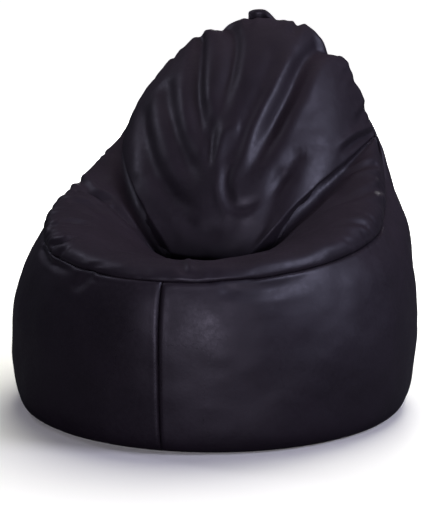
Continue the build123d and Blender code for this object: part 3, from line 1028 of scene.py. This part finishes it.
    def open_slot(self, bm: bmesh.types.BMesh, side: int) -> None:
        """Draws a side panel's rear edge back from the zip.

        Args:
            bm: The panel.
            side: 1 for the right panel, -1 for the left.
        """
        for vert in bm.verts:
            share = self.slot_share(vert.co)
            if share > 0:
                reach, half = self.slot_reach * MM, self.slot_half * MM
                across = max(vert.co.x * side, 0.0)
                opened = half + across * (reach - half) / reach
                vert.co.x = side * (across + (opened - across) * share)

    def base(self) -> bpy.types.Object:
        """The round base panel, flat on the floor, its edge turned up inside the wall."""
        bm = bmesh.new()
        radius = SHAPE.base_r * MM
        bmesh.ops.create_circle(bm, segments=self.base_segments, radius=radius, cap_ends=True)
        top = bm.faces[:]
        for share in self.base_insets:
            bmesh.ops.inset_region(bm, faces=top, thickness=share * radius, use_even_offset=True)
        bmesh.ops.poke(bm, faces=top)
        rim = [e for e in bm.edges if e.is_boundary]
        made = bmesh.ops.extrude_edge_only(bm, edges=rim)["geom"]
        verts = [g for g in made if isinstance(g, bmesh.types.BMVert)]
        bmesh.ops.translate(bm, verts=verts, vec=(0, 0, self.turn_in * MM))
        bmesh.ops.scale(bm, verts=verts, vec=(self.base_flare, self.base_flare, 1))
        bmesh.ops.recalc_face_normals(bm, faces=bm.faces)
        if min(bm.faces, key=lambda f: f.calc_center_median().length).normal.z > 0:
            bmesh.ops.reverse_faces(bm, faces=bm.faces)
        return add_object("cover_base_panel", mesh_from("cover_base_panel", bm))

    def build(self) -> tuple[dict[Panel, bpy.types.Object], bpy.types.Mesh]:
        """Makes the panels.

        Returns:
            The five panels, and the finished skin that they were cut from.
        """
        rough = self.skin()
        log.info("skin: %d vertices", len(rough.vertices))
        self.sculpt(rough)
        self.inflate(rough)
        skin = self.refine(rough)
        self.press_seams(skin)
        names = {
            Panel.LEFT: "cover_left_side_panel", Panel.RIGHT: "cover_right_side_panel",
            Panel.SEAT: "cover_seat_panel", Panel.BACK: "cover_back_panel"}
        panels = {panel: self.cut(skin, panel, name) for panel, name in names.items()}
        panels[Panel.BASE] = self.base()
        return panels, skin

    def dress(self, panels: dict[Panel, bpy.types.Object]) -> None:
        """Gives the panels their finish and their place in the frame."""
        leather = CoatedLeathercloth().make()
        cloth = WovenCloth("polyester_base_cloth", "0b0b0d", "1a1a1d", 2.5).make()
        nodes = {
            Panel.BASE: "base_panel", Panel.LEFT: "left_side_panel",
            Panel.RIGHT: "right_side_panel", Panel.SEAT: "seat_panel", Panel.BACK: "back_panel"}
        for panel, obj in panels.items():
            slot, material = "cover_leather", leather
            if panel is Panel.BASE:
                slot, material = "base_cloth", cloth
            settle(obj, nodes[panel], "root", material)


# ---- the liner and its beads ----------------------------------------------------------
@dataclass(frozen=True)
class FoamBeads:
    """Expanded polystyrene beads, blown: white, matt balls packed close."""

    name: str = "polystyrene_beads_expanded"
    bead_mm: float = 5.0
    # The gap colour is painted shade, the grey where packed beads shade each other; the beads
    # themselves are white.
    gap: str = "b9b9b4"
    bead: str = "f3f3ef"

    def make(self) -> bpy.types.Material:
        """The material, with each bead a raised cell, painted white at its middle and darker
        towards its edge: painted shade in the gaps between beads.
        """
        material, tree, shader = new_material(self.name)
        at = add_node(tree, "ShaderNodeTexCoord").outputs["Object"]
        ball = add_node(tree, "ShaderNodeTexVoronoi", {"Vector": at, "Scale": 1000 / self.bead_mm})
        shade = add_node(tree, "ShaderNodeMapRange", {
            "Value": ball.outputs["Distance"], "From Max": 0.7, "To Min": 1.0, "To Max": 0.0})
        # Painted shade: each cell runs from the bead colour at its middle to the gap's painted
        # shade at its edge.
        colour = blend(tree, shade.outputs["Result"], self.gap, self.bead)
        bump = add_node(tree, "ShaderNodeBump", {
            "Height": shade.outputs["Result"], "Strength": 0.9,
            "Distance": 0.4 * self.bead_mm * MM})
        tree.links.new(colour, shader.inputs["Base Color"])
        tree.links.new(bump.outputs["Normal"], shader.inputs["Normal"])
        shader.inputs["Roughness"].default_value = 0.75
        return material


@dataclass
class Filling:
    """The liner bag and the beads in it, drawn in to lie clear inside the folded cover."""

    skin: bpy.types.Mesh
    liner_clearance: float = 18.0
    fill_clearance: float = 25.0
    ball_subdivisions: int = 6
    shrink_rounds: int = 4
    floor_normal: float = -0.9  # a face that points down more than this lies on the base

    def inner(self, clearance: float, side: int = 0) -> bmesh.types.BMesh:
        """A shape inside the skin, seen from the bag's heart.

        Args:
            clearance: How far inside the skin it lies, in millimetres.
            side: 1 or -1 for one half of the wall, 0 for the whole closed shape.

        Returns:
            The shape.
        """
        heart = Vector(HEART) * MM
        outer = bmesh.new()
        outer.from_mesh(self.skin)
        tree = BVHTree.FromBMesh(outer)
        outer.free()
        bm = bmesh.new()
        bmesh.ops.create_icosphere(bm, subdivisions=self.ball_subdivisions, radius=1.0)
        for vert in bm.verts:
            ray = vert.co.normalized()
            reach = tree.ray_cast(heart, ray)[3] or 1.0
            if ray.z < 0:
                reach = min(reach, heart.z / -ray.z)
            vert.co = ray * reach
        for _ in range(self.shrink_rounds):
            least = {v: min(v.co.length, *(e.other_vert(v).co.length for e in v.link_edges))
                     for v in bm.verts}
            for vert, reach in least.items():
                vert.co *= reach / vert.co.length
        bmesh.ops.smooth_vert(bm, verts=bm.verts, factor=0.5, use_axis_x=True, use_axis_y=True,
                              use_axis_z=True)
        for vert in bm.verts:
            reach = vert.co.length
            vert.co = heart + vert.co * ((reach - clearance * MM) / reach)
        if side:
            gone = [f for f in bm.faces
                    if f.calc_center_median().x * side < 0 or f.normal.z < self.floor_normal]
            bmesh.ops.delete(bm, geom=gone, context="FACES")
        return bm

    def build(self) -> None:
        """Makes the liner's two halves, its base and the fill."""
        spunbond = WovenCloth("polypropylene_liner_spunbond", "c9c8c3", "e6e5e0", 3.0, 0.85).make()
        beads = FoamBeads().make()
        made = []
        for name, side, node in (("liner_left_half", -1, "liner_left"),
                                 ("liner_right_half", 1, "liner_right")):
            obj = add_object(name, mesh_from(name, self.inner(self.liner_clearance, side)))
            made.append((obj, node, spunbond, "liner_cloth"))
        bm = self.inner(self.liner_clearance)
        gone = [f for f in bm.faces if f.normal.z >= self.floor_normal]
        bmesh.ops.delete(bm, geom=gone, context="FACES")
        made.append((add_object("liner_base_disc", mesh_from("liner_base_disc", bm)),
                     "liner_base", spunbond, "liner_cloth"))
        obj = add_object("bead_filling", mesh_from("bead_filling", self.inner(self.fill_clearance)))
        made.append((obj, "bead_fill", beads, "beads"))
        for obj, node, material, slot in made:
            settle(obj, node, "root", material)


# ---- the zip ------------------------------------------------------------------------
@dataclass(frozen=True)
class MouldedNylon:
    """Polyamide 6, moulded: black, with the low satin gloss of a wound zip coil."""

    name: str = "nylon_zip_coil_moulded"

    def make(self) -> bpy.types.Material:
        """The material, slightly uneven in gloss."""
        material, tree, shader = new_material(self.name)
        at = add_node(tree, "ShaderNodeTexCoord").outputs["Object"]
        patchy = add_node(tree, "ShaderNodeTexNoise", {"Vector": at, "Scale": 220.0})
        gloss = add_node(tree, "ShaderNodeMapRange", {
            "Value": patchy.outputs["Fac"], "To Min": 0.28, "To Max": 0.46})
        tree.links.new(gloss.outputs["Result"], shader.inputs["Roughness"])
        shader.inputs["Base Color"].default_value = linear("18181b")
        shader.inputs["IOR"].default_value = 1.53
        return material


@dataclass(frozen=True)
class PaintedZinc:
    """Die-cast zinc, stoved in black enamel: smooth and shiny, rubbed thin in places."""

    name: str = "zinc_diecast_black_enamel"
    enamel: str = "1b1b1e"
    rubbed: str = "55555a"

    def make(self) -> bpy.types.Material:
        """The material, with paler rubbed patches."""
        material, tree, shader = new_material(self.name)
        at = add_node(tree, "ShaderNodeTexCoord").outputs["Object"]
        rubs = add_node(tree, "ShaderNodeTexNoise", {"Vector": at, "Scale": 260.0, "Detail": 3.0})
        worn = add_node(tree, "ShaderNodeMapRange", {
            "Value": rubs.outputs["Fac"], "From Min": 0.55, "From Max": 0.75})
        colour = blend(tree, worn.outputs["Result"], self.enamel, self.rubbed)
        gloss = add_node(tree, "ShaderNodeMapRange", {
            "Value": rubs.outputs["Fac"], "To Min": 0.18, "To Max": 0.4})
        tree.links.new(colour, shader.inputs["Base Color"])
        tree.links.new(gloss.outputs["Result"], shader.inputs["Roughness"])
        shader.inputs["Metallic"].default_value = 0.6
        shader.inputs["Coat Weight"].default_value = 0.4
        return material


def arc_band(name: str, across: tuple[float, float], depth: tuple[float, float],
             turn: tuple[float, float], steps: int, columns: int = 1) -> bpy.types.Object:
    """A flat band that follows the rear seam.

    Args:
        name: The object's name.
        across: Its two edges, in millimetres from the seam.
        depth: Its two faces, in millimetres out from the cover's outside.
        turn: The angles of its two ends.
        steps: Divisions along it.
        columns: Divisions across it.

    Returns:
        The band.
    """
    bm = bmesh.new()
    bmesh.ops.create_grid(bm, x_segments=columns, y_segments=1, size=0.5)
    middle = Vector(((across[0] + across[1]) / 2, (depth[0] + depth[1]) / 2, 0)) * MM
    bmesh.ops.scale(bm, verts=bm.verts,
                    vec=((across[1] - across[0]) * MM, (depth[1] - depth[0]) * MM, 1))
    bmesh.ops.translate(bm, verts=bm.verts, vec=middle)
    upright = Matrix.Rotation(math.pi / 2, 4, "X")
    bmesh.ops.transform(bm, matrix=REAR.frame(turn[0]) @ upright, verts=bm.verts)
    bmesh.ops.spin(bm, geom=bm.verts[:] + bm.edges[:] + bm.faces[:], cent=REAR.centre,
                   axis=(1, 0, 0), angle=math.radians(turn[1] - turn[0]), steps=steps)
    bmesh.ops.recalc_face_normals(bm, faces=bm.faces)
    return add_object(name, mesh_from(name, bm, smooth=False))


@dataclass
class Zip:
    """The zip in the rear seam: woven tapes, wound coils, metal slider and stops, and guard."""

    tape_across: tuple[float, float] = (0.8, 14.0)
    tape_depth: tuple[float, float] = (-3.2, -2.5)
    guard_half: float = 22.0
    guard_depth: tuple[float, float] = (-5.6, -5.0)
    overrun: float = 1.2
    coil_margin: float = 0.5
    pitch: float = 2.2
    turn_size: tuple[float, float, float] = (3.3, 1.3, 1.9)
    turn_middle: tuple[float, float] = (1.75, -1.5)
    turn_round: float = 0.45
    band_steps: int = 90

    def coil(self, name: str, side: int) -> bpy.types.Object:
        """One wound coil, its turns half a pitch out of step with the other's.

        Args:
            name: The object's name.
            side: 1 or -1.

        Returns:
            The coil.
        """
        low, high = REAR.slot
        low, high = low + self.coil_margin, high - self.coil_margin
        step = math.degrees(self.pitch * MM / REAR.radius)
        count = int((high - low) / step)
        one = bmesh.new()
        bmesh.ops.create_cube(one, size=1.0)
        bmesh.ops.scale(one, vec=Vector(self.turn_size) * MM, verts=one.verts)
        bmesh.ops.bevel(one, geom=one.edges[:], offset=self.turn_round * MM, segments=1,
                        profile=0.5, affect="EDGES", material=-1)
        turn = mesh_from("coil_turn", one, smooth=False)
        bm = bmesh.new()
        across, out = self.turn_middle
        offset = Matrix.Translation(Vector((side * across, 0, out)) * MM)
        for i in range(count):
            first = len(bm.verts)
            bm.from_mesh(turn)
            bm.verts.ensure_lookup_table()
            at = REAR.frame(low + step * (i + (0.25 if side > 0 else 0.75)))
            bmesh.ops.transform(bm, matrix=at @ offset, verts=bm.verts[first:])
        bpy.data.meshes.remove(turn)
        return add_object(name, mesh_from(name, bm, smooth=False))

    def build(self) -> None:
        """Makes the zip's cloth and coils, and dresses its metal."""
        low, high = REAR.slot[0] - self.overrun, REAR.slot[1] + self.overrun
        twill = WovenCloth("polyester_zip_tape_woven", "0c0c0e", "222226", 1.6).make()
        nylon, zinc = MouldedNylon().make(), PaintedZinc().make()
        near, far = self.tape_across
        made = []
        for name, side in (("left", -1), ("right", 1)):
            band = arc_band(f"zip_tape_woven_{name}", tuple(sorted((side * near, side * far))),
                            self.tape_depth, (low, high), self.band_steps, 3)
            made.append((band, f"zip_tape_{name}", twill, "zip_tape"))
            made.append((self.coil(f"zip_coil_turns_{name}", side), f"zip_coil_{name}", nylon,
                         "zip_coil"))
        guard = arc_band("zip_guard_cloth", (-self.guard_half, self.guard_half),
                         self.guard_depth, (low, high), self.band_steps, 4)
        made.append((guard, "zip_guard_flap", twill, "liner_cloth"))
        for obj, node, material, slot in made:
            settle(obj, node, "root", material)
        for node in ("zip_slider", "zip_pull", "zip_top_stops", "zip_bottom_stop"):
            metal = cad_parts[node]
            metal.data.materials.clear()
            metal.data.materials.append(zinc)


# ---- the carry handle ---------------------------------------------------------------
@dataclass
class CarryHandle:
    """A wide folded strap behind the head, and the patch that it is sewn to."""

    skin: bpy.types.Mesh
    centre_x: float = 20.0
    foot: tuple[float, float] = (371.7, 780.2)
    half_width: float = 31.0
    rise: float = 38.0
    loop: float = 8.0
    thickness: float = 2.2
    bend_from: float = 0.58  # the share of each leg that is straight
    gap: float = 1.4  # half the space between the legs at the foot
    peak: float = -0.25  # where across the strap it stands highest
    slump: tuple[float, float] = (0.34, 3.0)  # how its two sides sink
    wave: float = 0.9
    shift: tuple[float, float] = (2.0, 1.0)  # how far its top leans across and back
    patch_size: tuple[float, float] = (84.0, 58.0)
    patch_drop: float = 14.5
    patch_t: float = 1.4
    patch_lift: float = 0.3

    def strap(self) -> bpy.types.Object:
        """The strap: one sheet bent over into a loop, its bend slumped to one side."""
        bm = bmesh.new()
        verts = bmesh.ops.create_grid(bm, x_segments=28, y_segments=56, size=1.0)["verts"]
        for vert in verts:
            u, v = vert.co.x, vert.co.y
            sunk = self.slump[1] * float(smoothstep(0.2, 1.0, u))
            rise = self.rise * (1 - self.slump[0] * (u - self.peak) ** 2) - sunk
            bent = 1 - self.bend_from
            bend = math.pi * float(np.clip((abs(v) * -1 + bent) / bent, 0, 1)) / 2
            straight = min((1 - abs(v)) / self.bend_from, 1.0)
            wave = self.wave * math.sin(7.0 * u + 1.3) * straight
            half_gap = self.gap + (self.loop - self.gap) * straight
            depth = math.copysign(1.0, v) * half_gap * math.cos(bend)
            up = (rise - self.loop) * straight + self.loop * math.sin(bend)
            vert.co = Vector((
                self.centre_x + u * self.half_width + self.shift[0] * straight,
                self.foot[0] + depth + wave + self.shift[1] * straight,
                self.foot[1] + up + 0.6 * math.sin(5 * u) * straight)) * MM
        bmesh.ops.recalc_face_normals(bm, faces=bm.faces)
        obj = add_object("carry_handle_strap", mesh_from("carry_handle_strap", bm))
        wall = obj.modifiers.new("Thickness", "SOLIDIFY")
        wall.thickness, wall.offset = self.thickness * MM, 0.0
        mesh = baked(obj)
        obj.modifiers.clear()
        obj.data = mesh
        return obj

    def patch(self) -> bpy.types.Object:
        """The doubled patch, laid on the wall under the strap's foot."""
        wall_skin = bmesh.new()
        wall_skin.from_mesh(self.skin)
        tree = BVHTree.FromBMesh(wall_skin)
        wall_skin.free()
        foot = REAR.angle(self.foot[1])
        at = REAR.frame(foot - math.degrees(self.patch_drop * MM / REAR.radius))
        bm = bmesh.new()
        bmesh.ops.create_grid(bm, x_segments=42, y_segments=29, size=0.5)
        bmesh.ops.scale(bm, verts=bm.verts, vec=Vector((*self.patch_size, 1)) * MM)
        bmesh.ops.translate(bm, verts=bm.verts, vec=(self.centre_x * MM, 0, 0.06))
        bmesh.ops.transform(bm, matrix=at, verts=bm.verts)
        inward = -at.col[2].xyz
        for vert in bm.verts:
            hit = tree.ray_cast(vert.co, inward)[0]
            if hit:
                vert.co = hit - inward * self.patch_lift * MM
        bmesh.ops.smooth_vert(bm, verts=bm.verts, factor=0.4, use_axis_x=True, use_axis_y=True,
                              use_axis_z=True)
        bmesh.ops.recalc_face_normals(bm, faces=bm.faces)
        bm.faces.ensure_lookup_table()
        if bm.faces[0].normal.dot(inward) > 0:
            bmesh.ops.reverse_faces(bm, faces=bm.faces)
        obj = add_object("carry_handle_patch", mesh_from("carry_handle_patch", bm))
        wall = obj.modifiers.new("Thickness", "SOLIDIFY")
        wall.thickness, wall.offset = self.patch_t * MM, 1.0
        obj.data = baked(obj)
        obj.modifiers.clear()
        return obj

    def build(self) -> None:
        """Makes the strap and its patch."""
        leather = bpy.data.materials[CoatedLeathercloth.name]
        settle(self.strap(), "carry_handle", "handle", leather)
        settle(self.patch(), "handle_patch", "root", leather)


# ---- the studio ---------------------------------------------------------------------
@dataclass(frozen=True)
class Softbox:
    """A soft rectangular lamp aimed at the bag."""

    name: str
    place: tuple[float, float, float]
    size: tuple[float, float]
    power: float
    colour: str = "ffffff"
    aim: tuple[float, float, float] = (0.0, 0.0, 0.4)
    shiny: bool = True  # whether it shows in glossy surfaces

    def build(self) -> None:
        """Adds the lamp."""
        data = bpy.data.lights.new(self.name, "AREA")
        data.shape, data.size, data.size_y = "RECTANGLE", *self.size
        data.energy = self.power
        data.color = linear(self.colour)[:3]
        lamp = bpy.data.objects.new(self.name, data)
        lamp.location = self.place
        lamp.visible_glossy = self.shiny
        look = Vector(self.aim) - Vector(self.place)
        lamp.rotation_euler = look.to_track_quat("-Z", "Y").to_euler()
        bpy.context.scene.collection.objects.link(lamp)


LAMPS = (
    Softbox("key_softbox", (1.1, -4.6, 0.75), (1.3, 0.9), 84.0, "e8deff"),
    Softbox("right_softbox", (3.2, -0.5, 2.4), (1.2, 1.2), 74.0, "dadaff"),
    Softbox("top_softbox", (0.2, 1.3, 3.3), (2.6, 2.6), 165.0, shiny=False),
    Softbox("left_rim_softbox", (-2.2, 0.2, 2.4), (0.35, 0.9), 10.0, "e4e2ff"),
    Softbox("rear_softbox", (-0.5, 4.4, 0.7), (1.8, 1.0), 45.0),
)


@dataclass
class Studio:
    """The floor, the light and the camera."""

    camera_place: tuple[float, float, float] = (1.084, -4.249, 1.247)
    camera_aim: tuple[float, float, float] = (-0.0025, 0.0172, 0.3054)
    lens: float = 143.3
    floor_radius: float = 12.0
    # The floor's emission is painted light. Near the bag it stays low, as a painted shadow round
    # the foot; farther out it glows white, as a painted glow that no lamp gives.
    painted_shadow_fade: tuple[float, float] = (0.55, 1.85)  # where the floor starts and ends to brighten
    painted_floor_glow: tuple[float, float] = (0.06, 1.0)

    def build(self) -> None:
        """Sets the studio up."""
        scene = bpy.context.scene
        scene.view_settings.view_transform = "Standard"
        bm = bmesh.new()
        bmesh.ops.create_circle(bm, segments=96, radius=self.floor_radius, cap_ends=True)
        floor = add_object("studio_floor", mesh_from("studio_floor", bm))
        material, tree, shader = new_material("painted_floor_matt")
        shader.inputs["Base Color"].default_value = linear("f5f4e9")
        shader.inputs["Roughness"].default_value = 0.6
        # Painted glow: the floor emits light, dimmed near the bag into a painted shadow. Only
        # camera rays see this; all other rays see a dull grey floor instead.
        shader.inputs["Emission Color"].default_value = linear("ffffff")
        at = add_node(tree, "ShaderNodeTexCoord").outputs["Object"]
        away = add_node(tree, "ShaderNodeVectorMath", {0: at}, operation="LENGTH")
        painted_glow = add_node(tree, "ShaderNodeMapRange", {
            "Value": away.outputs["Value"],
            "From Min": self.painted_shadow_fade[0], "From Max": self.painted_shadow_fade[1],
            "To Min": self.painted_floor_glow[0], "To Max": self.painted_floor_glow[1]},
            interpolation_type="SMOOTHSTEP")
        tree.links.new(painted_glow.outputs["Result"], shader.inputs["Emission Strength"])
        path = add_node(tree, "ShaderNodeLightPath")
        dull = add_node(tree, "ShaderNodeBsdfDiffuse", {"Color": linear("404044")})
        mix = add_node(tree, "ShaderNodeMixShader", {"Fac": path.outputs["Is Camera Ray"]})
        tree.links.new(dull.outputs[0], mix.inputs[1])
        tree.links.new(shader.outputs[0], mix.inputs[2])
        tree.links.new(mix.outputs[0], tree.nodes["Material Output"].inputs["Surface"])
        floor.data.materials.append(material)
        world = bpy.data.worlds.new("studio_air")
        world.use_nodes = True
        tree = world.node_tree
        tree.nodes.clear()
        path = add_node(tree, "ShaderNodeLightPath")
        dim = add_node(tree, "ShaderNodeBackground", {"Color": linear("d8dcff"), "Strength": 0.04})
        white = add_node(tree, "ShaderNodeBackground", {"Color": linear("ffffff"), "Strength": 1.0})
        mix = add_node(tree, "ShaderNodeMixShader", {"Fac": path.outputs["Is Camera Ray"]})
        tree.links.new(dim.outputs[0], mix.inputs[1])
        tree.links.new(white.outputs[0], mix.inputs[2])
        add_node(tree, "ShaderNodeOutputWorld", {"Surface": mix.outputs[0]})
        scene.world = world
        for lamp in LAMPS:
            lamp.build()
        data = bpy.data.cameras.new("studio_camera")
        data.lens, data.sensor_width = self.lens, 36.0
        camera = bpy.data.objects.new("studio_camera", data)
        camera.location = self.camera_place
        look = Vector(self.camera_aim) - Vector(self.camera_place)
        camera.rotation_euler = look.to_track_quat("-Z", "Y").to_euler()
        scene.collection.objects.link(camera)
        scene.camera = camera


def main() -> None:
    """Builds the bean bag chair and its studio."""
    Studio().build()
    cover = Cover()
    panels, skin = cover.build()
    cover.dress(panels)
    Filling(skin).build()
    Zip().build()
    CarryHandle(skin).build()


if __name__ == "__main__":
    logging.basicConfig(level=logging.INFO, format="%(name)s: %(message)s")
    main()
    bpy.context.view_layer.update()
